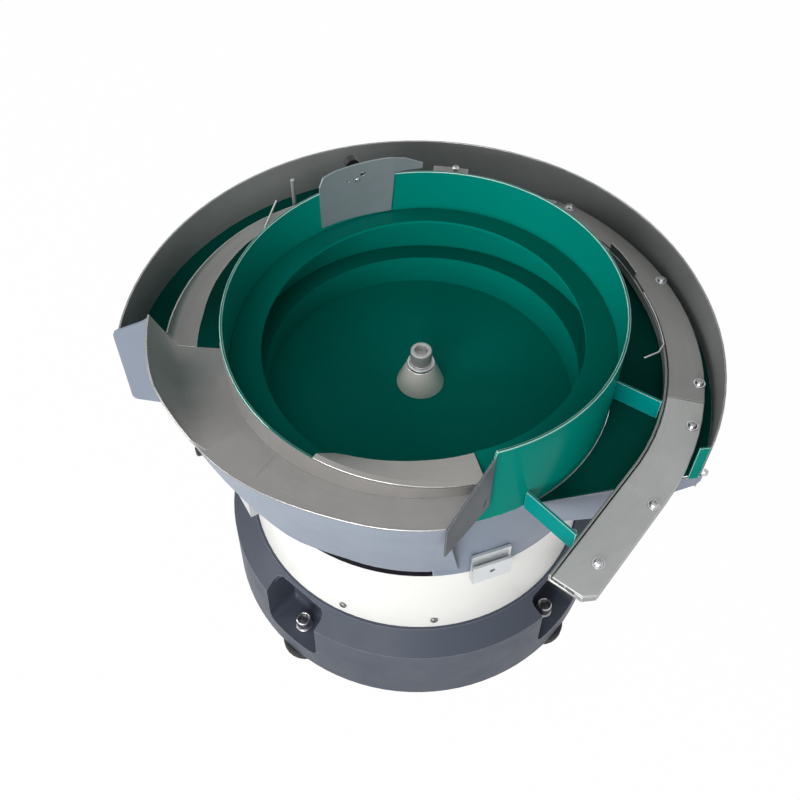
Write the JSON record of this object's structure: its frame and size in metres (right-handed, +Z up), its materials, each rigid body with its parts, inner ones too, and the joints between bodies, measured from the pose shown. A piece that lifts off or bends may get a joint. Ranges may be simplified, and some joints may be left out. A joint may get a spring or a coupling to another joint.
{
  "type": "vibratory bowl feeder",
  "caption": "Vibratory bowl feeder: a helical bowl on inclined leaf springs over a round electromagnetic drive, with an outside tray, return pan and covered discharge track.",
  "frame": {"origin": "centre of the cast base's flat underside, on the bowl's axis; the rubber feet reach 14 mm below it", "axes": "+Z up along the bowl's axis; the front with the wide tray faces -Y; the discharge track leaves towards -X and -Y at the front right"},
  "size_m": [0.655, 0.616, 0.484],
  "materials": {
    "green_coat": "glossy coating",
    "stainless": "satin",
    "dark_stainless": "satin, dark",
    "grey_coat": "satin paint",
    "slate_coat": "satin paint",
    "white_coat": "satin paint",
    "zinc": "zinc plated",
    "aluminium": "milled",
    "rubber": "matte",
    "spring_steel": "blued",
    "cast_iron": "rough",
    "copper": "taped winding",
    "black_plastic": "matte",
    "black_steel": "blackened"
  },
  "bodies": {
    "base": {"base_casting": "slate_coat", "foot_pad_1": "rubber", "foot_stud_1": "zinc", "cover_screw_1": "zinc", "foot_pad_2": "rubber", "foot_stud_2": "zinc", "cover_screw_2": "zinc", "foot_pad_3": "rubber", "foot_stud_3": "zinc", "cover_screw_3": "zinc", "foot_pad_4": "rubber", "foot_stud_4": "zinc", "cover_screw_4": "zinc", "drive_cover": "white_coat", "cable_gland": "black_plastic", "magnet_bracket": "black_steel", "magnet_core": "cast_iron", "magnet_coil": "copper", "spring_clamp_lower_1": "black_steel", "spring_clamp_lower_2": "black_steel", "spring_clamp_lower_3": "black_steel"},
    "leaf_springs": {"leaf_spring_1": "spring_steel", "leaf_spring_2": "spring_steel", "leaf_spring_3": "spring_steel"},
    "bowl": {"spring_clamp_upper_1": "black_steel", "spring_clamp_upper_2": "black_steel", "spring_clamp_upper_3": "black_steel", "top_plate": "slate_coat", "armature": "cast_iron", "bowl_shell": "green_coat", "spiral_track": "green_coat", "bowl_skirt": "grey_coat", "track_insert": "stainless", "cone_nut": "stainless", "spring_washer": "zinc", "centre_bolt": "black_steel", "wide_tray": "stainless", "tray_apron": "grey_coat", "tray_end_plate": "grey_coat", "narrow_track": "stainless", "return_pan": "green_coat", "outer_wall": "dark_stainless", "pan_end_plate": "grey_coat", "end_flap": "grey_coat", "discharge_bed": "dark_stainless", "discharge_cover_rear": "stainless", "discharge_cover_front": "stainless", "front_bracket": "green_coat", "right_bracket": "green_coat", "deflector_plate": "stainless", "deflector_bracket": "stainless", "thumb_screw": "black_plastic", "rear_tab": "stainless", "guide_rod": "zinc", "guide_post": "zinc", "guide_wire": "zinc", "guide_strip": "stainless", "bowl_clamp_front": "aluminium", "bowl_clamp_left": "aluminium", "bowl_clamp_rear": "aluminium"}
  },
  "joints": [
    {"name": "drive_twist", "type": "hinge", "parent": "base", "child": "leaf_springs", "pos_m": [0, 0, 0.135], "axis": [0, 0, 1], "range_deg": [-0.13, 0.13], "stiffness_Nm_per_rad": 50000},
    {"name": "drive_lift", "type": "slide", "parent": "leaf_springs", "child": "bowl", "axis": [0, 0, 1], "range_m": [-0.0001, 0.0001]}
  ],
  "couplings": [
    {"joint": "drive_lift", "follows": "drive_twist", "m_per_rad": -0.04004}
  ]
}
